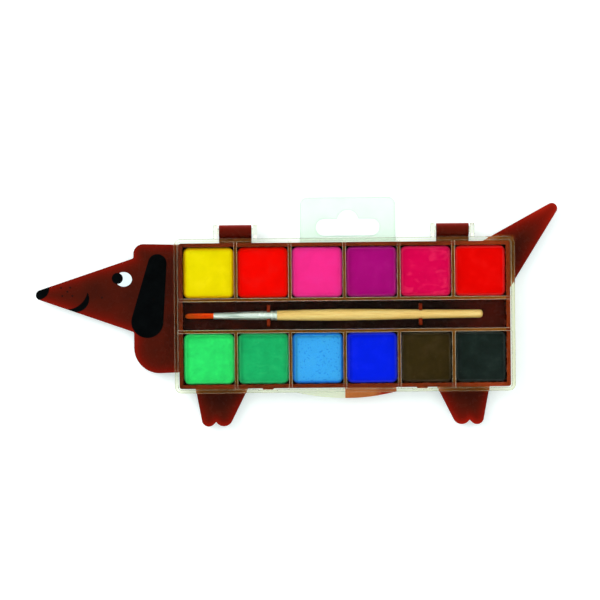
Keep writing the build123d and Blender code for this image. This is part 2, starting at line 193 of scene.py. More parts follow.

# %% [markdown]
# ## The brown plastic
#
# The moulding is glossy styrene, tinted so strongly that its thick parts look
# almost black, while light that creeps in at an edge comes out glowing red.
# Real scattering could give this, but it is slow and noisy in a plate 1.8 mm
# thick. So light and shade are painted into the colour: each mesh carries two
# values on its points. The first is painted light and shade: how much the
# plastic glows there, and a ramp of browns and reds reads it, from near-black
# painted shade where little light reaches to the red of a lit edge. The second
# is painted light too: how far it turns to tan, as thin walls do when light
# passes through them.


# %% Finish of the brown plastic
def brown_plastic():
    finish = Finish("brown_plastic", Roughness=0.24, IOR=1.5, Specular_IOR_Level=0.08)
    cloud = finish.scaled(finish.noise(16, detail=2), -0.05, 0.05, 0.3, 0.7)
    # Painted light and shade: low values give near-black shade, high ones the red light at lit
    # edges.
    painted_glow = calculated(finish.tree, "ADD", finish.attribute("painted_edge_glow"), cloud)
    red = finish.ramp(
        painted_glow,
        (0.0, light(24, 14, 11)),
        (0.1, light(47, 17, 10)),
        (0.22, light(75, 20, 8)),
        (0.45, light(106, 16, 4)),
        (0.7, light(138, 20, 5)),
        (1.0, light(180, 34, 14)),
    )
    # Painted light: the tan of light passing through thin walls.
    tan = finish.ramp(
        painted_glow,
        (0.0, light(46, 28, 6)),
        (0.35, light(90, 56, 12)),
        (0.65, light(148, 94, 26)),
        (1.0, light(230, 140, 92)),
    )
    finish.lead(finish.mixed(finish.attribute("painted_warm_light"), red, tan), "Base Color")
    finish.roughen(finish.noise(3, detail=5), 0.24, 0.29)
    finish.bump(finish.noise(5, detail=1), 0.01)
    return finish.material


brown = brown_plastic()
print("made", brown.name)

# %% [markdown]
# ## From CAD solids to soft-edged pieces
#
# A CAD node arrives as loose triangles with knife-sharp edges, and a real
# moulding has small radii that catch the light. So each piece starts as a copy
# of its node: the copy is welded, flat areas are joined into single faces, and
# every sharp edge gets a small bevel. A weighted normal modifier then keeps the
# flat faces flat and lets only the bevels shade round.


# %% Helpers for meshes
def pour(part, whole):
    """Adds one mesh to another and frees it."""
    step = bpy.data.meshes.new("step")
    part.to_mesh(step)
    part.free()
    whole.from_mesh(step)
    bpy.data.meshes.remove(step)


def welded(name):
    """The triangles of a CAD node as a clean mesh: welded, and its flat areas joined."""
    part, clean = bmesh.new(), bmesh.new()
    part.from_mesh(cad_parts[name].data)
    bmesh.ops.remove_doubles(part, verts=part.verts, dist=0.002 * MM)
    bmesh.ops.dissolve_limit(
        part, angle_limit=math.radians(1.5), verts=part.verts, edges=part.edges)
    pour(part, clean)
    return clean


def sharp_edges(mesh, degrees=30):
    limit = math.radians(degrees)
    return [e for e in mesh.edges if len(e.link_faces) == 2 and e.calc_face_angle(0) > limit]


def soften(mesh, edges, width, segments=2):
    """Bevels the edges by a width in millimetres."""
    bmesh.ops.bevel(
        mesh, geom=edges, offset=width * MM, segments=segments, profile=0.5,
        affect="EDGES", clamp_overlap=True,
    )


def grid_cut(mesh, step):
    """Cuts a mesh along even planes, set off its own edges, to get points on flat faces."""
    off = 0.37
    for axis, normal in enumerate((Vector((1, 0, 0)), Vector((0, 1, 0)))):
        places = [v.co[axis] for v in mesh.verts]
        low, high = min(places), max(places)
        for k in range(1, int((high - low) / step)):
            bmesh.ops.bisect_plane(
                mesh, geom=mesh.verts[:] + mesh.edges[:] + mesh.faces[:], dist=1e-7,
                plane_co=normal * (low + (k + off) * step), plane_no=normal,
            )


def soft_step(value, middle, width):
    """Climbs from 0 to 1 where a value passes the middle; with a negative width it falls."""
    return 1 / (1 + np.exp((middle - value) / width))


print("helpers for meshes ready")


# %% Helpers for pieces
def loose_object(name, mesh):
    """Puts a mesh into the scene as an object."""
    data = bpy.data.meshes.new(name)
    mesh.to_mesh(data)
    mesh.free()
    made = bpy.data.objects.new(name, data)
    scene.collection.objects.link(made)
    return made


def applied(source):
    """The mesh of an object with its modifiers applied. The object is removed."""
    ready = source.evaluated_get(bpy.context.evaluated_depsgraph_get())
    data = bpy.data.meshes.new_from_object(ready)
    bpy.data.objects.remove(source)
    return data


def fit(made, nodes, body):
    """Tells the frame the body of a piece and hides the CAD nodes that it replaces."""
    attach(made, body)
    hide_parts(*nodes)
    print(made.name, len(made.data.polygons), "faces")


def piece(name, mesh, material, nodes, body="base", flat=True):
    """Finishes a mesh as a piece of the object that stands for some CAD nodes."""
    made = loose_object(name, mesh)
    made.data.materials.append(material)
    made.data.shade_smooth()
    if flat:
        made.data.set_sharp_from_angle(angle=math.radians(50))
        made.modifiers.new("even_normals", "WEIGHTED_NORMAL").keep_sharp = True
    fit(made, nodes, body)


def paint_light_and_shade(mesh, painted_glow, painted_warmth):
    """Writes painted light and painted tan, each from 0 to 1, on the points of a brown mesh."""
    for name, values in (("painted_edge_glow", painted_glow), ("painted_warm_light", painted_warmth)):
        layer = mesh.verts.layers.float.new(name)
        for vertex, value in zip(mesh.verts, values):
            vertex[layer] = value


print("helpers for pieces ready")

# %% [markdown]
# ## The tray
#
# The tray is an open box with a grid of thin walls. Joining the CAD floor and
# dividers as they are would leave seams where they touch, and the real thing is
# one moulding. So the tray is carved again in mesh code: a rounded block, less
# twelve wells, a trough and the recess of the hang tab by Boolean, with one
# small radius over all the rims.


# %% The tray as one moulding
def block(low, high, radius=0.0, steps=6):
    """A closed block, with its four upright edges rounded by a radius."""
    mesh = bmesh.new()
    outline = []
    for corner, (sx, sy) in enumerate(((1, 1), (-1, 1), (-1, -1), (1, -1))):
        cx = (high[0] - radius) if sx > 0 else (low[0] + radius)
        cy = (high[1] - radius) if sy > 0 else (low[1] + radius)
        for step in range(steps + 1 if radius else 1):
            turn = math.pi / 2 * (corner + (step / steps if radius else 0.5))
            outline.append((cx + radius * math.cos(turn), cy + radius * math.sin(turn)))
    bottom = [mesh.verts.new((x, y, low[2])) for x, y in outline]
    top = [mesh.verts.new((x, y, high[2])) for x, y in outline]
    mesh.faces.new(list(reversed(bottom)))
    mesh.faces.new(top)
    for i in range(len(outline)):
        j = (i + 1) % len(outline)
        mesh.faces.new((bottom[i], bottom[j], top[j], top[i]))
    return mesh


TRAY_CORNER = 1.3 * MM
WELL_CORNER = 0.5 * MM
CAKE_GAP = 0.2 * MM
LONG_WALL = 1.4 * MM
TAB_GAP = 0.4 * MM
TAB_RECESS = 0.6 * MM
SPARE = 1 * MM  # how far the cutters stand out of the tray

body_block = loose_object("tray_block", block(
    (-tray_x, -tray_y, 0), (tray_x, tray_y, tray_top), TRAY_CORNER))
hollows = bmesh.new()
for paint in [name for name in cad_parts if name.startswith("paint_")]:
    low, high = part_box(paint)
    well = block(
        (low[0] - CAKE_GAP, low[1] - CAKE_GAP, tray_floor),
        (high[0] + CAKE_GAP, high[1] + CAKE_GAP, tray_top + SPARE), WELL_CORNER, steps=3)
    pour(well, hollows)
trough_x, trough_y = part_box("long_dividers")[1][:2]
trough_y -= LONG_WALL
trough = block(
    (-trough_x, -trough_y, tray_floor), (trough_x, trough_y, tray_top + SPARE),
    WELL_CORNER, steps=3)
pour(trough, hollows)
tab_low, tab_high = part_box("hang_tab")
recess = block(
    (tab_low[0] - TAB_GAP, tab_low[1] - TAB_GAP, -SPARE),
    (tab_high[0] + TAB_GAP, tray_y + SPARE, TAB_RECESS))
pour(recess, hollows)
cutter = loose_object("tray_hollows", hollows)
carve = body_block.modifiers.new("carve", "BOOLEAN")
carve.operation = "DIFFERENCE"
carve.solver = "EXACT"
carve.object = cutter
carved = applied(body_block)
bpy.data.objects.remove(cutter)
tray = bmesh.new()
tray.from_mesh(carved)
bpy.data.meshes.remove(carved)
bmesh.ops.remove_doubles(tray, verts=tray.verts, dist=0.001 * MM)
bmesh.ops.dissolve_limit(tray, angle_limit=math.radians(1), verts=tray.verts, edges=tray.edges)
soften(tray, sharp_edges(tray), 0.22)
grid_cut(tray, 4 * MM)
print("tray carved,", len(tray.faces), "faces")

# %% [markdown]
# Two bumps on the front wall snap into pockets of the lid. Each is rebuilt from
# the tips of the CAD's bump: it grows towards the wall by half its depth on all
# sides and is sunk a little into the wall.

# %% The snap bumps
SUNK = 0.2 * MM
bump_tips = [
    v.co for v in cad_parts["base_tray"].data.vertices if v.co.y < -tray_y - 0.5 * MM]
for side in (-1, 1):
    tip = [v for v in bump_tips if v.x * side > 0]
    front = min(v.y for v in tip)
    depth = -tray_y - front
    inner, outer = min(abs(v.x) for v in tip), max(abs(v.x) for v in tip)
    low, high = min(v.z for v in tip), max(v.z for v in tip)
    bump = bmesh.new()
    for grown, y in ((0, front), (depth / 2, -tray_y), (depth / 2, -tray_y + SUNK)):
        for x in (inner - grown, outer + grown):
            for z in (low - grown, high + grown):
                bump.verts.new((side * x, y, z))
    bmesh.ops.convex_hull(bump, input=bump.verts)
    soften(bump, sharp_edges(bump), 0.12)
    bmesh.ops.recalc_face_normals(bump, faces=bump.faces)
    pour(bump, tray)
    print("snap bump", round((outer - inner) / MM, 1), "mm wide,", round(depth / MM, 2), "deep")

# %% [markdown]
# The thin walls let light through and look lighter and more tan than the floor,
# so the painted light and the painted tan rise with height, and the low floor
# keeps a near-black painted shade. The right end of the tray is painted
# brighter, and so is its floor on the left, while the top of each end wall is
# painted a little darker. The bumps get a painted highlight, as they catch
# light from the front.

# %% Painted light and shade of the tray
RIM_WIDTH = 2.2 * MM  # the outer wall with its radius
painted_glow, painted_warmth = [], []
for x, y, z in (vertex.co for vertex in tray.verts):
    height = max(0.0, (z - tray_floor) / (tray_top - tray_floor))
    rim = max(abs(x) - tray_x, abs(y) - tray_y) > -RIM_WIDTH
    # Painted light: the right end is brighter, and so is the floor on the left.
    painted_lit_end = 0.22 * soft_step(x, 60 * MM, 4 * MM)
    painted_lit_end += 0.1 * soft_step(x, -34 * MM, -9 * MM) * (1 - height)
    # Painted shade: the end walls grow darker towards the top.
    painted_dim_end = 0.12 * height if abs(x) > tray_x - RIM_WIDTH else 0.0
    on_bump = y < -tray_y - 0.01 * MM
    # The bumps get a painted highlight.
    painted_glow.append(0.65 if on_bump else 0.05 + painted_lit_end - painted_dim_end + height * (0.44 if rim else 0.4))
    painted_warmth.append(0.5 if on_bump else height**2 * (0.24 if rim else 0.95))
paint_light_and_shade(tray, painted_glow, painted_warmth)
piece("tray_moulding", tray, brown, ["base_tray", "long_dividers", "cross_dividers"])

# %% [markdown]
# ## Head, feet, tail and thumb tab
# These are flat plates 1.8 mm thick that stand out from the tray's wall. Their
# outlines come from the CAD copy. The copy is cut into a fine grid, so that the
# painted light can change smoothly over a flat face, and every point then gets
# its distance to the outline: near the outline the plate is painted with light,
# in its middle with shade. The toes and the tip of the tail are painted brighter
# than the middle, and the tail is painted darker near the tray. The roots lie
# under the lid's clear flange, which scatters light, so a narrow strip there is
# painted lighter and warmer. The thumb tab is painted tan left of its turn and
# darker right of it.


# %% Helpers for plates
def at_tray(vertex):
    """Whether a point lies on the tray's outline or inside it."""
    return abs(vertex.co.x) < tray_x + 0.01 * MM and abs(vertex.co.y) < tray_y + 0.01 * MM


def outline_segments(mesh):
    """Upper outline edges that aren't at the tray's wall, as pairs of points in the plane."""
    found = []
    for edge in mesh.edges:
        if len(edge.link_faces) != 2:
            continue
        ups = sorted(abs(face.normal.z) for face in edge.link_faces)
        level = abs(edge.verts[0].co.z - edge.verts[1].co.z) < 1e-6
        inside = all(at_tray(v) for v in edge.verts)
        if level and ups[0] < 0.1 and ups[1] > 0.9 and not inside:
            found.append([edge.verts[0].co.xy[:], edge.verts[1].co.xy[:]])
    return np.array(found)


def flat_points(mesh):
    """The points of a mesh as seen from above."""
    return np.array([v.co.xy[:] for v in mesh.verts])


def distance_to(points, segments):
    """Each point's distance to the nearest segment, in the plane."""
    starts, ends = segments[:, 0], segments[:, 1]
    along = ends - starts
    length = np.maximum((along**2).sum(1), 1e-14)
    offset = points[:, None, :] - starts[None]
    share = np.clip((offset * along[None]).sum(2) / length[None], 0, 1)
    nearest = starts[None] + share[..., None] * along[None]
    return np.sqrt(((points[:, None, :] - nearest) ** 2).sum(2)).min(1)


print("helpers for plates ready")

# %% The plates and their painted light and shade
OVERLAP = 0.5 * MM  # how far a root reaches into the tray's wall
FLANGE_END = 2.4  # millimetres from the wall
# Painted light: left of this line the thumb tab is painted tan, right of it darker.
THUMB_TURN = 17 * MM  # left of it the thumb tab looks tan
plates = {
    "head_plate": (0.175, "even"),
    "front_foot": (0.08, "toes"),
    "hind_foot": (0.13, "toes"),
    "tail_plate": (0.34, "tip"),
    "thumb_plate": (0.85, "even"),
}
all_plates = bmesh.new()
plate_painted_glow, plate_painted_warmth = [], []
for name, (base_painted_glow, painted_lit_end) in plates.items():
    plate = welded(name)
    outline = outline_segments(plate)
    soften(plate, [e for e in sharp_edges(plate) if not all(at_tray(v) for v in e.verts)], 0.2)
    for vertex in plate.verts:
        if at_tray(vertex):
            vertex.co.x *= 1 - OVERLAP / tray_x
            vertex.co.y *= 1 - OVERLAP / tray_y
    grid_cut(plate, 1.0 * MM)
    points = flat_points(plate)
    pour(plate, all_plates)
    away = distance_to(points, outline) / MM
    # Painted light near the outline, fading to painted shade in the middle.
    values = base_painted_glow + 0.42 / (1 + (away / 2.6) ** 2)  # halved 2.6 mm from the outline
    # Painted light at the toes.
    if painted_lit_end == "toes":
        drop = (points[:, 1] - points[:, 1].min()) / MM
        values = values + 0.3 * np.exp(-drop / 5.0)
    # Painted shade near the tray, and painted light at the tail's tip.
    if painted_lit_end == "tip":
        reach = (points[:, 1] - tray_y) / MM
        values = values - 0.34 * np.clip(1 - reach / 16, 0, 1) + 0.1
    # Painted light under the lid's flange: a lighter, warmer strip at the roots.
    beyond = np.maximum(np.abs(points[:, 0]) - tray_x, np.abs(points[:, 1]) - tray_y) / MM
    under_lid = soft_step(beyond, FLANGE_END, -0.3)
    if name == "thumb_plate":
        left = soft_step(points[:, 0], THUMB_TURN, -0.8 * MM)
        values = values - 0.4 * (1 - left) + 0.15 * under_lid
        warm = np.maximum(0.9 * left, 0.7 * under_lid)
    else:
        share = 0.4 if name == "head_plate" else 1.0
        warm = 0.8 * share * under_lid
        values = values + 0.38 * share * under_lid
    plate_painted_glow.extend(values.tolist())
    plate_painted_warmth.extend(warm.tolist())
paint_light_and_shade(all_plates, plate_painted_glow, plate_painted_warmth)
piece("head_feet_and_tail", all_plates, brown, list(plates))

# %% [markdown]
# ## Hinge knuckles and brush clips
#
# Both are small and plain, so the welded CAD copy with soft edges is enough.
# The knuckles are painted with light along their far edge and, like the
# plates, under the lid's flange. The clips are thin fingers that stand in the
# dark trough; they are painted lighter towards the top and look bright beside
# it.

# %% Knuckles and clips
knuckles = welded("hinge_knuckles")
soften(knuckles, sharp_edges(knuckles, 50), 0.3, 3)
grid_cut(knuckles, 1 * MM)
far_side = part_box("hinge_knuckles")[1][1]
flange_side = tray_y + 1.9 * MM
painted_glow, painted_warmth = [], []
for vertex in knuckles.verts:
    under_flange = vertex.co.y < flange_side
    # Painted light along the far edge, and more under the flange.
    painted_edge_light = 0.6 * math.exp((vertex.co.y - far_side) / (0.9 * MM))
    painted_glow.append(0.3 + painted_edge_light + (0.24 if under_flange else 0))
    painted_warmth.append(0.7 if under_flange else 0.0)
paint_light_and_shade(knuckles, painted_glow, painted_warmth)
piece("hinge_barrels", knuckles, brown, ["hinge_knuckles"])

clips = welded("brush_clips")
soften(clips, sharp_edges(clips, 50), 0.15)
# Painted light: the clips are lighter towards the top.
painted_glow = [0.2 + 0.5 * (v.co.z - tray_floor) / (tray_top - tray_floor) for v in clips.verts]
paint_light_and_shade(clips, painted_glow, [0.15] * len(painted_glow))
piece("clip_fingers", clips, brown, ["brush_clips"])

# %% [markdown]
# ## The clear lid
# The lid is one clear moulding: a flat cover with a skirt, ribs that close each
# well, and lugs with nubs for the hinges. Real glass shading with a plastic's
# index lets the light bend at the small radii, which is what draws the fine
# double lines along ribs and walls. Light scuffs and a slight waviness of the
# cover keep it from looking like nothing at all. Three faint warm tints are mixed
# in: on the flange round the skirt, on the ribs and on faces seen from the side.
# The last two are a painted gold highlight: they colour the lines of bent light
# along the ribs and edges.


# %% Finish of the lid
def clear_plastic():
    finish = Finish(
        "clear_plastic", Roughness=0.02, IOR=1.42, Transmission_Weight=1.0,
        Specular_IOR_Level=0.4, Specular_Tint=light(255, 236, 190))
    tint = finish.ramp(
        finish.noise(30, detail=1), (0.3, light(252, 255, 252)), (0.7, light(255, 255, 254)))
    tint = finish.mixed(finish.attribute("flange"), tint, light(238, 238, 204))
    # Painted highlight: the ribs take the gold of the lines of bent light.
    tint = finish.mixed(finish.attribute("rib"), tint, light(240, 218, 160))
    # Painted highlight: faces seen from the side turn pale gold.
    facing = finish.node("LayerWeight", Blend=0.5).outputs["Facing"]
    edge = finish.scaled(facing, 0.0, 1.0, 0.15, 1.0)
    finish.lead(finish.mixed(edge, tint, light(238, 234, 200)), "Base Color")
    scuffs = finish.noise(2.2, detail=6, place=finish.stretched(1, 0.2, 1), distortion=0.6)
    finish.lead(finish.scaled(scuffs, 0.008, 0.05, 0.62, 0.75), "Roughness")
    finish.bump(finish.noise(22, detail=1), 0.02)
    return finish.material


clear = clear_plastic()
print("made", clear.name)

# %% Mesh of the lid
COVER = 1.4 * MM
lid_mesh = welded("lid")
soften(lid_mesh, sharp_edges(lid_mesh, 40), 0.14)
grid_cut(lid_mesh, 1.5 * MM)
flange = lid_mesh.verts.layers.float.new("flange")
rib = lid_mesh.verts.layers.float.new("rib")
lid_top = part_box("lid")[1][2]
cover_under = lid_top - COVER
for vertex in lid_mesh.verts:
    x, y, z = vertex.co
    beyond = max(abs(x) - tray_x, abs(y) - tray_y) / MM
    # The flange is palest behind the tray and strongest at its right end.
    share = 0.4 if y > tray_y else 0.75 if x < tray_x else 1.0
    vertex[flange] = share * soft_step(beyond, 0.4, 0.2)
    vertex[rib] = float(beyond < 0 and z < cover_under - 0.05 * MM)
print("lid reaches up to", round(lid_top / MM, 2), "mm, cover from", round(cover_under / MM, 2))
piece("clear_lid", lid_mesh, clear, ["lid"], body="lid")

# %% [markdown]
# ## The hang tab
#
# A die-cut piece of clear sheet, 0.4 mm thick, is stuck under the tray. It is
# faintly blue-green, and its cut edges gather light and look darker: a painted
# shade along the outline stands for that. The outline needs only a hair-fine
# radius.

# %% Finish and mesh of the hang tab
def clear_sheet():
    finish = Finish(
        "clear_sheet", Roughness=0.05, IOR=1.3, Transmission_Weight=1.0, Specular_IOR_Level=0.4)
    tint = finish.ramp(
        finish.noise(14, detail=2), (0.3, light(227, 237, 226)), (0.7, light(232, 240, 231)))
    # Painted shade along the cut edges.
    cut = finish.attribute("cut_edge")
    finish.lead(finish.mixed(cut, tint, light(216, 226, 216)), "Base Color")
    finish.roughen(finish.noise(5, detail=4), 0.03, 0.09)
    finish.bump(finish.noise(9, detail=1), 0.01)
    return finish.material


tab_mesh = welded("hang_tab")
tab_outline = outline_segments(tab_mesh)
soften(tab_mesh, sharp_edges(tab_mesh), 0.06, 1)
grid_cut(tab_mesh, 0.7 * MM)
# The painted shade of the cut edges: strongest at the outline, fading within about 1 mm.
cut_edge = tab_mesh.verts.layers.float.new("cut_edge")
away = distance_to(flat_points(tab_mesh), tab_outline) / MM
for vertex, distance in zip(tab_mesh.verts, away):
    vertex[cut_edge] = float(np.exp(-distance / 0.4))
piece("hang_sheet", tab_mesh, clear_sheet(), ["hang_tab"])

# %% [markdown]
# ## The paint cakes
#
# Each cake is a pressed tablet: a square with round corners, a soft shoulder
# and a top that is never quite level. All twelve follow one rule, so one tree
# of geometry nodes makes them. A fine block is pulled onto the shape in two
# steps: every point is held inside a smaller block, then pushed out from there
# by the edge radius, which rounds all edges at once. A noise field moves the
# top a little. The size, radii and seed are inputs. Before the points move, each
# keeps its distance to the block's sides, in centimetres, and the finish finds
# the edges by it.


# %% Helpers for geometry trees
def new_tree(name, result, **kinds):
    """A tree of geometry nodes with named inputs, and what comes in."""
    tree = bpy.data.node_groups.new(name, "GeometryNodeTree")
    for title, kind in kinds.items():
        tree.interface.new_socket(title, in_out="INPUT", socket_type="NodeSocket" + kind)
    tree.interface.new_socket(result, in_out="OUTPUT", socket_type="NodeSocketGeometry")
    return tree, tree.nodes.new("NodeGroupInput").outputs


def close_tree(tree, shape, material):
    """Makes the shape real, gives it its material and leads it out of the tree."""
    real = added(tree, "GeometryNodeRealizeInstances", Geometry=shape)
    dressed = added(tree, "GeometryNodeSetMaterial", Geometry=real.outputs[0], Material=material)
    tree.links.new(dressed.outputs[0], tree.nodes.new("NodeGroupOutput").inputs[0])


def from_tree(name, tree, nodes, body, **values):
    """Runs a tree with the given inputs and keeps its result as a piece with a plain mesh."""
    holder = bpy.data.objects.new(name + "_maker", bpy.data.meshes.new(name + "_seed"))
    scene.collection.objects.link(holder)
    modifier = holder.modifiers.new("maker", "NODES")
    modifier.node_group = tree
    for item in tree.interface.items_tree:
        if item.in_out == "INPUT":
            modifier[item.identifier] = values[item.name]
    data = applied(holder)
    data.name = name
    made = bpy.data.objects.new(name, data)
    scene.collection.objects.link(made)
    fit(made, nodes, body)


print("helpers for trees ready")


# %% The tree for a soft tablet
def tablet_tree():
    tree, inputs = new_tree(
        "soft_tablet", "Tablet", Size="Vector", Middle="Vector", Corner="Float",
        Shoulder="Float", Unevenness="Float", Seed="Float", Finish="Material")
    node, number = partial(added, tree), partial(calculated, tree)

    def vector(operation, *values):
        made = node("ShaderNodeVectorMath")
        made.operation = operation
        for index, value in enumerate(values):
            scale = operation == "SCALE" and index == 1
            put(tree, value, made.inputs["Scale" if scale else index])
        return made.outputs["Vector"]

    cube = node(
        "GeometryNodeMeshCube", Size=inputs["Size"], Vertices_X=40, Vertices_Y=40, Vertices_Z=10)
    place = node("GeometryNodeInputPosition").outputs[0]
    radii = node(
        "ShaderNodeCombineXYZ", X=inputs["Corner"], Y=inputs["Corner"], Z=inputs["Shoulder"],
    ).outputs[0]
    half = vector("SCALE", inputs["Size"], 0.5)
    core = vector("SUBTRACT", half, radii)
    held = vector("MINIMUM", vector("MAXIMUM", place, vector("SCALE", core, -1.0)), core)
    outward = vector("NORMALIZE", vector("DIVIDE", vector("SUBTRACT", place, held), radii))
    rounded = vector("ADD", held, vector("MULTIPLY", outward, radii))

    texture = node("ShaderNodeTexNoise")
    texture.noise_dimensions = "4D"
    for socket, value in (
            ("Vector", place), ("W", inputs["Seed"]), ("Scale", 110.0), ("Detail", 3.0)):
        put(tree, value, texture.inputs[socket])
    lift = number("MULTIPLY", number("SUBTRACT", texture.outputs["Fac"], 0.5), inputs["Unevenness"])
    upper = number("GREATER_THAN", node("ShaderNodeSeparateXYZ", Vector=rounded).outputs["Z"], 0.0)
    move = node("ShaderNodeCombineXYZ", Z=number("MULTIPLY", lift, upper)).outputs[0]

    marked = cube.outputs["Mesh"]
    # The second distance reaches only the left and top sides, where the finish paints the wall's
    # shadow.
    for name, inward in (("edge_distance", vector("ABSOLUTE", place)),
                         ("wall_shadow_distance", vector("MULTIPLY", place, (-1.0, 1.0, 1.0)))):
        away = node("ShaderNodeSeparateXYZ", Vector=vector("SUBTRACT", half, inward)).outputs
        nearest = number("MULTIPLY", number("MINIMUM", away["X"], away["Y"]), 100.0)
        marked = node(
            "GeometryNodeStoreNamedAttribute", Geometry=marked, Name=name, Value=nearest).outputs[0]
    position = vector("ADD", vector("ADD", rounded, move), inputs["Middle"])
    shaped = node("GeometryNodeSetPosition", Geometry=marked, Position=position)
    smooth = node("GeometryNodeSetShadeSmooth", Geometry=shaped.outputs[0])
    close_tree(tree, smooth.outputs[0], inputs["Finish"])
    return tree


tablet = tablet_tree()
print("tablet tree with", len(tablet.nodes), "nodes")

# %% [markdown]
# ## The finish of a cake
#
# Pressed watercolour is dull and chalky. Its colour clouds a little, there are
# fine darker specks where grains of pigment show, and a few have streaks from
# the press. Inside the left and top sides runs a painted shadow: a darker band
# where the well's wall shades the cake. The very edge turns to another tone, by
# default a lighter one, a painted highlight where the edge catches light, else
# the colour given for the cake. One function takes the colour and how strong
# each fault and each painted shade or light is.


# %% Finish of a cake
def shade(colour, factor, lift=0.0):
    """A colour made lighter or darker, and kept below full white."""
    return (*(min(0.97, part * factor + lift) for part in colour[:3]), 1.0)


def paint_finish(
        name, colour, cloud=0.05, specks=0.2, streaks=0.0, wall_shadow=0.12, edge_tone=None, speck_size=0.6):
    finish = Finish("paint_" + name, Roughness=0.7, Specular_IOR_Level=0.0)
    base = light(*colour)
    tone = finish.ramp(
        finish.noise(7, detail=4, roughness=0.6),
        (0.34, shade(base, 1 - cloud)), (0.5, base), (0.68, shade(base, 1 + cloud, 0.004)))
    if streaks:
        drawn = finish.noise(8, detail=1, place=finish.stretched(1, 1.7, 1), distortion=0.9)
        drawn = finish.scaled(drawn, 0.0, streaks, 0.53, 0.66)
        tone = finish.mixed(drawn, tone, shade(base, 1.2, 0.03))
    none, full = (0, 0, 0, 1), (wall_shadow, wall_shadow, wall_shadow, 1)
    # Painted shadow of the well's wall, just inside the left and top sides.
    painted_wall_shadow = finish.ramp(
        finish.attribute("wall_shadow_distance"), (0.10, none), (0.15, full), (0.2, full), (0.32, none))
    tone = finish.mixed(painted_wall_shadow, tone, shade(base, 0.3))
    # The very edge: a painted highlight, lighter by default, or the given edge colour.
    edge = finish.scaled(finish.attribute("edge_distance"), 0.7, 0.0, 0.03, 0.13)
    tone = finish.mixed(edge, tone, light(*edge_tone) if edge_tone else shade(base, 1.2, 0.03))
    grain = finish.noise(speck_size, detail=1)
    dots = finish.scaled(grain, 0.0, specks, 0.61, 0.69)
    speck = (*(part * part * 0.8 for part in base[:3]), 1.0)
    finish.lead(finish.mixed(dots, tone, speck), "Base Color")
    finish.roughen(finish.noise(2.5, detail=4), 0.6, 0.8)
    finish.bump(finish.noise(0.8, detail=4), 0.03)
    finish.bump(grain, 0.02)
    return finish.material


print("finish of a cake ready")

# %% [markdown]
# The yellow, the reds and the pink are even. The greens, the brown and the black
# are cloudy, the crimson is streaked and the light blue is speckled.

# %% The twelve cakes
CORNER, SHOULDER, UNEVENNESS = 3.2 * MM, 0.7 * MM, 0.2 * MM
# Besides its faults, each cake has the strength of its painted wall shadow, and some a colour for
# the edge.
cake_colours = {
    "yellow": ((246, 227, 1), {"wall_shadow": 0.02, "edge_tone": (252, 186, 4)}),
    "orange_red": ((255, 4, 0), {"wall_shadow": 0.04, "edge_tone": (255, 30, 0)}),
    "pink": ((255, 46, 148), {"wall_shadow": 0.05}),
    "purple": ((174, 8, 124), {}),
    "crimson": ((228, 2, 82), {"streaks": 0.45, "wall_shadow": 0.06}),
    "red": ((240, 2, 1), {"wall_shadow": 0.03}),
    "light_green": ((48, 232, 112), {"cloud": 0.12, "specks": 0.3, "wall_shadow": 0.25}),
    "green": ((30, 185, 108), {"cloud": 0.12, "specks": 0.3, "streaks": 0.2, "wall_shadow": 0.25}),
    "light_blue": (
        (64, 176, 255), {"specks": 0.6, "speck_size": 1.0, "wall_shadow": 0.4, "edge_tone": (30, 120, 255)}),
    "blue": ((2, 34, 244), {"wall_shadow": 0.2}),
    "brown": ((54, 43, 17), {"cloud": 0.12}),
    "black": ((26, 38, 35), {"cloud": 0.2}),
}
for order, (name, (colour, faults_and_painted_light)) in enumerate(cake_colours.items()):
    low, high = (Vector(corner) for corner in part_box("paint_" + name))
    from_tree(
        "cake_" + name, tablet, ["paint_" + name], "base",
        Size=(high - low)[:], Middle=((low + high) / 2)[:], Corner=CORNER, Shoulder=SHOULDER,
        Unevenness=UNEVENNESS, Seed=3.7 * order, Finish=paint_finish(name, colour, **faults_and_painted_light),
    )
cake = bpy.data.objects["cake_yellow"].data.vertices
cut = max(v.co.x for v in cake) + max(v.co.y for v in cake) - max(v.co.x + v.co.y for v in cake)
print("corner of the yellow cake is cut back by", round(cut / math.sqrt(2) / MM, 2), "mm")

# %% [markdown]
# ## The brush: handle and ferrule
#
# Both are turned shapes, so each is a profile spun round the brush's axis. The
# handle swells behind the ferrule and ends in a small dome. The ferrule is a
# thin drawn cone, crimped onto the wood by rows of shallow grooves. A lathe in
# a few lines of code gives clean rings and closed ends.

# %% A lathe for the brush
brush_low, brush_high = (Vector(corner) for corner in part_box("brush_handle"))
axis_z = (brush_low.z + brush_high.z) / 2
ferrule_low, ferrule_high = (Vector(corner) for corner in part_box("brush_ferrule"))
hair_low, hair_high = (Vector(corner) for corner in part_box("brush_bristles"))
mouth_x, joint_x, end_x, tip_x = ferrule_low.x, ferrule_high.x, brush_high.x, hair_low.x
print("brush from", round(tip_x / MM, 1), "to", round(end_x / MM, 1), "mm")


def turned(profile, around=48, closed=False):
    """Spins pairs of place and radius, in metres, round the brush's axis."""
    mesh = bmesh.new()
    turns = [2 * math.pi * k / around for k in range(around)]
    rings = []
    for x, radius in profile:
        if radius <= 0:
            rings.append([mesh.verts.new((x, 0, axis_z))])
        else:
            rings.append([
                mesh.verts.new((x, radius * math.cos(turn), axis_z + radius * math.sin(turn)))
                for turn in turns])
    pairs = list(zip(rings, rings[1:]))
    if closed:
        pairs.append((rings[-1], rings[0]))
    for one, two in pairs:
        for k in range(around):
            j = (k + 1) % around
            if len(one) == 1:
                corners = (one[0], two[k], two[j])
            elif len(two) == 1:
                corners = (one[k], two[0], one[j])
            else:
                corners = (one[k], two[k], two[j], one[j])
            mesh.faces.new(corners)
    bmesh.ops.recalc_face_normals(mesh, faces=mesh.faces)
    return mesh


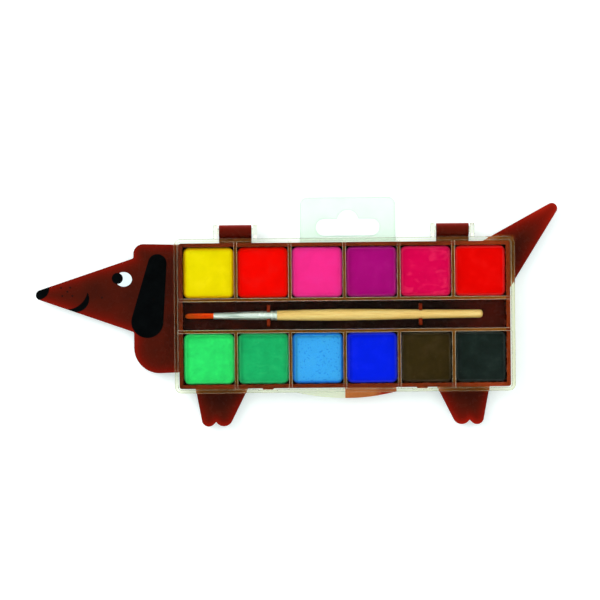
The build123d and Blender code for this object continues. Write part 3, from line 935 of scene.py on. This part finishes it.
# %% [markdown]
# The wood is pale, close-grained and lacquered. Its grain is a noise drawn out
# along the brush, with finer dark pores over it, under a clear coat.


# %% Finish of the handle
def pale_wood():
    finish = Finish(
        "wood", Roughness=0.4, Specular_IOR_Level=0.35, Coat_Weight=0.25, Coat_Roughness=0.2)
    grain = finish.noise(0.9, detail=4, place=finish.stretched(0.05, 1, 1), distortion=0.3)
    colour = finish.ramp(
        grain, (0.3, light(236, 190, 98)), (0.5, light(253, 216, 124)),
        (0.72, light(255, 230, 150)))
    pores = finish.noise(0.25, detail=2, place=finish.stretched(0.12, 1, 1))
    pores = finish.scaled(pores, 0.0, 0.5, 0.64, 0.74)
    colour = finish.mixed(pores, colour, light(206, 150, 70))
    cloud = finish.scaled(finish.noise(18, detail=2), 0.0, 0.25, 0.4, 0.7)
    finish.lead(finish.mixed(cloud, colour, light(244, 196, 102)), "Base Color")
    finish.roughen(grain, 0.34, 0.48)
    finish.bump(grain, 0.015)
    return finish.material


wood = pale_wood()
print("made", wood.name)

# %% Mesh of the handle
TENON = 12 * MM
DOME = 1.7 * MM
END_RADIUS = 2.05 * MM
belly = (brush_high.z - brush_low.z) / 2
joint_radius = (ferrule_high.z - ferrule_low.z) / 2
belly_x = joint_x + 31 * MM
dome_x = end_x - DOME
profile = [
    (joint_x - TENON, 0), (joint_x - TENON, joint_radius * 0.8), (joint_x, joint_radius * 0.93),
    (joint_x + 0.05 * MM, joint_radius * 0.97), (joint_x + 0.25 * MM, joint_radius),
]
for share in np.arange(1, 13) / 12:
    swell = math.sin(share * math.pi / 2)
    profile.append((
        joint_x + share * (belly_x - joint_x), joint_radius + (belly - joint_radius) * swell))
for share in np.arange(1, 25) / 24:
    fall = 0.35 * share + 0.65 * share * share * (3 - 2 * share)
    profile.append((belly_x + share * (dome_x - belly_x), belly + (END_RADIUS - belly) * fall))
for k in range(1, 9):
    turn = k / 8 * math.pi / 2
    radius = END_RADIUS * math.cos(turn) ** 0.8 if k < 8 else 0
    profile.append((dome_x + DOME * math.sin(turn), radius))
piece("handle", turned(profile), wood, ["brush_handle"], body="brush", flat=False)

# %% [markdown]
# The ferrule is bright drawn metal. Fine rings from drawing run round it, and
# handling leaves it a little uneven in gloss. The crimps are real grooves.


# %% Finish and mesh of the ferrule
def drawn_metal():
    finish = Finish("ferrule_metal", Metallic=0.55, Roughness=0.36)
    drawn = finish.noise(0.7, detail=2, place=finish.stretched(0.04, 1, 1))
    colour = finish.ramp(drawn, (0.36, light(174, 198, 183)), (0.62, light(236, 248, 240)))
    finish.lead(colour, "Base Color")
    finish.roughen(finish.noise(1.4, detail=4), 0.3, 0.42)
    finish.bump(finish.noise(0.8, detail=1, place=finish.stretched(1, 0.02, 0.02)), 0.001)
    return finish.material


MOUTH_RADIUS = 1.55 * MM
METAL = 0.12 * MM
CRIMP_DEPTH, CRIMP_WIDTH = 0.15 * MM, 0.26 * MM
crimps = [joint_x - back * MM for back in (8.9, 6.6, 3.1, 1.5)]
profile = []
for share in np.arange(191) / 190:
    x = mouth_x + (joint_x - mouth_x) * share
    radius = MOUTH_RADIUS + (joint_radius - MOUTH_RADIUS) * share
    for crimp in crimps:
        radius -= CRIMP_DEPTH * math.exp(-(((x - crimp) / CRIMP_WIDTH) ** 2))
    profile.append((x, radius))
profile += [
    (joint_x, joint_radius - 0.2 * METAL), (joint_x, joint_radius - METAL),
    (mouth_x, MOUTH_RADIUS - METAL),
]
ferrule = turned(profile, around=40, closed=True)
piece("ferrule", ferrule, drawn_metal(), ["brush_ferrule"], body="brush", flat=False)

# %% [markdown]
# ## The bristles
#
# Nine hundred hairs fill the mouth of the ferrule, swell a little and close to
# a point. Geometry nodes make them: one short curve for each hair, set in a
# sunflower pattern and bent by one rule of place along the hair, and a
# three-sided profile gives it a body. A fixed seed strays each hair a little.


# %% The tree for the bristles
def bristle_tree():
    tree, inputs = new_tree(
        "brush_hair", "Hair", Count="Int", Root="Float", Belly="Float", Length="Float",
        Taper="Float", Thickness="Float", Mouth="Vector", Seed="Int", Finish="Material")
    node, number = partial(added, tree), partial(calculated, tree)
    line = node("GeometryNodeCurvePrimitiveLine", Start=(0, 0, 0), End=(1, 0, 0))
    hair = node("GeometryNodeResampleCurve", Count=8, Curve=line.outputs[0])
    points = node("GeometryNodePoints", Count=inputs["Count"])
    spread = node(
        "GeometryNodeInstanceOnPoints", Points=points.outputs[0], Instance=hair.outputs[0])
    real = node("GeometryNodeRealizeInstances", Geometry=spread.outputs[0])
    order = number("FLOOR", number("DIVIDE", node("GeometryNodeInputIndex").outputs[0], 8.0))
    rank = number("SQRT", number("DIVIDE", number("ADD", order, 0.5), inputs["Count"]))
    turn = number("MULTIPLY", order, math.pi * (3 - math.sqrt(5)))

    def stray(low, high, offset):
        """A value of chance for each hair."""
        made = node("FunctionNodeRandomValue", ID=order, Seed=number("ADD", inputs["Seed"], offset))
        made.data_type = "FLOAT"
        made.inputs[2].default_value = low
        made.inputs[3].default_value = high
        return made.outputs[1]

    position = node("GeometryNodeInputPosition").outputs[0]
    along = node("ShaderNodeSeparateXYZ", Vector=position).outputs["X"]
    short = number("MULTIPLY", inputs["Taper"], number("POWER", rank, 2.2))
    reach = number("SUBTRACT", number("SUBTRACT", inputs["Length"], short), stray(0.0, 0.0011, 1))
    swell = number("SINE", number("MULTIPLY", number("POWER", along, 0.75), math.pi / 2))
    growth = number("MULTIPLY", number("SUBTRACT", inputs["Belly"], inputs["Root"]), swell)
    belly = number("ADD", inputs["Root"], growth)
    pull = number("MULTIPLY", number("POWER", along, 6.0), stray(0.06, 0.16, 2))
    radius = number("MULTIPLY", number("MULTIPLY", rank, belly), number("SUBTRACT", 1.0, pull))
    wander = number("MULTIPLY", stray(-0.00016, 0.00016, 3), along)
    place = node(
        "ShaderNodeCombineXYZ",
        X=number("MULTIPLY", number("MULTIPLY", along, reach), -1.0),
        Y=number("ADD", number("MULTIPLY", radius, number("COSINE", turn)), wander),
        Z=number("MULTIPLY", radius, number("SINE", turn)))
    where = node("ShaderNodeVectorMath")
    put(tree, place.outputs[0], where.inputs[0])
    put(tree, inputs["Mouth"], where.inputs[1])
    bent = node("GeometryNodeSetPosition", Geometry=real.outputs[0], Position=where.outputs[0])
    ring = node("GeometryNodeCurvePrimitiveCircle", Resolution=3, Radius=inputs["Thickness"])
    tilted = node("GeometryNodeSetCurveTilt", Curve=bent.outputs[0], Tilt=math.pi)
    body = node(
        "GeometryNodeCurveToMesh", Curve=tilted.outputs[0], Profile_Curve=ring.outputs[0],
        Fill_Caps=True)
    close_tree(tree, body.outputs[0], inputs["Finish"])
    return tree


brush_tree = bristle_tree()
print("bristle tree with", len(brush_tree.nodes), "nodes")

# %% [markdown]
# The hair is orange-red, with paler and darker strands and a duller tip where
# paint has worn it.


# %% Finish and piece of the bristles
def brush_hair():
    finish = Finish("hair", Roughness=0.4, Specular_IOR_Level=0.08)
    drawn = finish.noise(0.16, detail=2, place=finish.stretched(0.04, 1, 1))
    colour = finish.ramp(
        drawn, (0.3, light(245, 40, 0)), (0.5, light(255, 72, 2)), (0.7, light(255, 130, 20)))
    patch = finish.scaled(finish.noise(1.6, detail=1), 0.0, 0.4, 0.5, 0.64)
    colour = finish.mixed(patch, colour, light(214, 80, 6))
    along = finish.node("SeparateXYZ", Vector=finish.place).outputs["X"]
    worn_tip = finish.scaled(along, 0.85, 0.0, tip_x, tip_x + 8 * MM)
    finish.lead(finish.mixed(worn_tip, colour, light(200, 88, 12)), "Base Color")
    finish.lead(finish.scaled(drawn, 0.3, 0.5, 0.3, 0.7), "Roughness")
    return finish.material


root_x = mouth_x + 1.2 * MM
from_tree(
    "bristles", brush_tree, ["brush_bristles"], "brush",
    Count=900, Root=1.34 * MM, Belly=(hair_high.z - hair_low.z) / 2 - 0.08 * MM,
    Length=root_x - tip_x, Taper=1.3 * MM, Thickness=0.075 * MM,
    Mouth=(root_x, 0.0, axis_z), Seed=7, Finish=brush_hair(),
)

# %% [markdown]
# ## The printed face
#
# Ear, eye, nose, mouth and freckles are screen-printed on the head. The CAD
# layers are thin enough to keep as they are. The ink is satin and not quite
# opaque everywhere: it carries a fine weave from the screen and small voids.
# The freckles are printed thinner, so that some of the brown comes through.


# %% Finish of the ink
def ink(name, colour, thin):
    finish = Finish(name, Roughness=0.45, Specular_IOR_Level=0.06)
    cloud = finish.ramp(finish.noise(6, detail=3), (0.35, light(*colour)), (0.7, light(*thin)))
    finish.lead(cloud, "Base Color")
    screen = finish.noise(0.3, detail=1)
    finish.roughen(screen, 0.38, 0.55)
    finish.bump(screen, 0.01)
    return finish.material


black_ink = ink("black_ink", (0, 2, 3), (3, 7, 8))
inks = {
    "freckle_prints": ink("freckle_ink", (30, 10, 8), (42, 14, 10)),
    "eye_white_print": ink("white_ink", (232, 249, 252), (224, 243, 247)),
}
for name in (
        "ear_print", "eye_white_print", "pupil_print", "nose_print", "smile_print",
        "freckle_prints"):
    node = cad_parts[name]
    node.data.materials.clear()
    node.data.materials.append(inks.get(name, black_ink))
    print(name, "inked with", node.data.materials[0].name)

# %% [markdown]
# ## Table, light and camera
#
# The set lies on a white table under soft light from the upper left. The floor
# is a plain plane: it scatters light as paper does and keeps the soft shadow.
# Only rays that the eye follows, directly, in a reflection or through the lid,
# see it a little brighter, so that it reads as white.

# %% Floor
REACH = 6
floor_mesh = bmesh.new()
floor_mesh.faces.new([
    floor_mesh.verts.new((x * REACH, y * REACH, -0.02 * MM))
    for x, y in ((-1, -1), (1, -1), (1, 1), (-1, 1))])
floor = loose_object("table_top", floor_mesh)
paper = Finish("table_white", Roughness=0.9, Specular_IOR_Level=0.0)
whites = paper.ramp(
    paper.noise(40, detail=2), (0.3, (0.90, 0.90, 0.90, 1)), (0.7, (0.92, 0.92, 0.92, 1)))
paper.lead(whites, "Base Color")
ray = paper.node("LightPath").outputs
seen = 0.0
for kind, brightness in (
        ("Is Camera Ray", 0.39), ("Is Glossy Ray", 0.24), ("Is Transmission Ray", 0.47)):
    seen = calculated(paper.tree, "MAXIMUM", seen, paper.scaled(ray[kind], 0.0, brightness))
shine = paper.node("Emission", Color=(0.78, 1.0, 0.98, 1), Strength=seen)
both = paper.node("AddShader")
for source, target in (
        (paper.shader, both.inputs[0]), (shine, both.inputs[1]),
        (both, paper.tree.nodes["Material Output"].inputs["Surface"])):
    paper.tree.links.new(source.outputs[0], target)
floor.data.materials.append(paper.material)
print("floor", floor.name, "reaches", REACH, "m from the middle")

# %% [markdown]
# The world is the pale room. Its diffuse light fills the shadows. Glossy rays
# see a ceiling that stays dim straight above, as over a copy stand, so that
# glossy surfaces keep their deep colours. Rays through the lid see a bright
# room with a narrow dark cone at the zenith, which keeps grey haze off it.

# %% World
world = bpy.data.worlds.new("pale_room")
scene.world = world
world.use_nodes = True
room = world.node_tree
path = added(room, "ShaderNodeLightPath").outputs
direction = added(room, "ShaderNodeTexCoord").outputs["Generated"]
climb = added(room, "ShaderNodeSeparateXYZ", Vector=direction).outputs["Z"]


def falling(start, end, low, high):
    """A strength that goes from low to high as a direction climbs from start to end."""
    made = added(
        room, "ShaderNodeMapRange", Value=climb,
        From_Min=start, From_Max=end, To_Min=low, To_Max=high)
    return made.outputs["Result"]


def for_rays(kind, strength, otherwise):
    """One strength for rays of a kind, another for all the rest."""
    made = added(room, "ShaderNodeMix")
    for index, value in ((0, path[kind]), (2, otherwise), (3, strength)):
        put(room, value, made.inputs[index])
    return made.outputs[0]


strength = for_rays("Is Glossy Ray", falling(0.35, 0.85, 1.0, 0.0), 0.72)
strength = for_rays("Is Transmission Ray", falling(0.955, 0.985, 1.6, 0.05), strength)
strength = for_rays("Is Camera Ray", 1.0, strength)
put(room, strength, room.nodes["Background"].inputs["Strength"])
put(room, (1.0, 1.0, 1.0, 1), room.nodes["Background"].inputs["Color"])
print("world", world.name, "with", len(room.nodes), "nodes")


# %% Lamps
def soft_lamp(name, place, width, watts):
    """A round lamp that looks at the origin."""
    data = bpy.data.lights.new(name, "AREA")
    data.shape = "DISK"
    data.size = width
    data.energy = watts
    lamp = bpy.data.objects.new(name, data)
    lamp.location = place
    lamp.rotation_euler = (-Vector(place)).to_track_quat("-Z", "Y").to_euler()
    scene.collection.objects.link(lamp)
    print(name, "of", watts, "W")


soft_lamp("key_lamp", (-1.15, 0.85, 1.1), 1.5, 17.5)
soft_lamp("fill_lamp", (1.2, 0.5, 1.3), 1.4, 4)

# %% [markdown]
# ## The camera
#
# The photograph looks straight down from about a metre and takes in 306 mm. The
# set lies half a degree askew, so the camera is turned by that much.

# %% Camera
HEIGHT = 1.0
SEEN_WIDTH = 306 * MM
ASKEW = -0.00942  # radians
camera_data = bpy.data.cameras.new("overhead")
camera_data.lens_unit = "FOV"
camera_data.angle = 2 * math.atan(SEEN_WIDTH / 2 / HEIGHT)
camera_data.clip_start = 0.01
camera = bpy.data.objects.new("overhead", camera_data)
camera.location = (-22.5 * MM, 7.7 * MM, HEIGHT)
camera.rotation_euler = Euler((0, 0, ASKEW))
scene.collection.objects.link(camera)
scene.camera = camera
scene.view_settings.view_transform = "Standard"
print("camera sees", round(math.degrees(camera_data.angle), 2), "degrees")
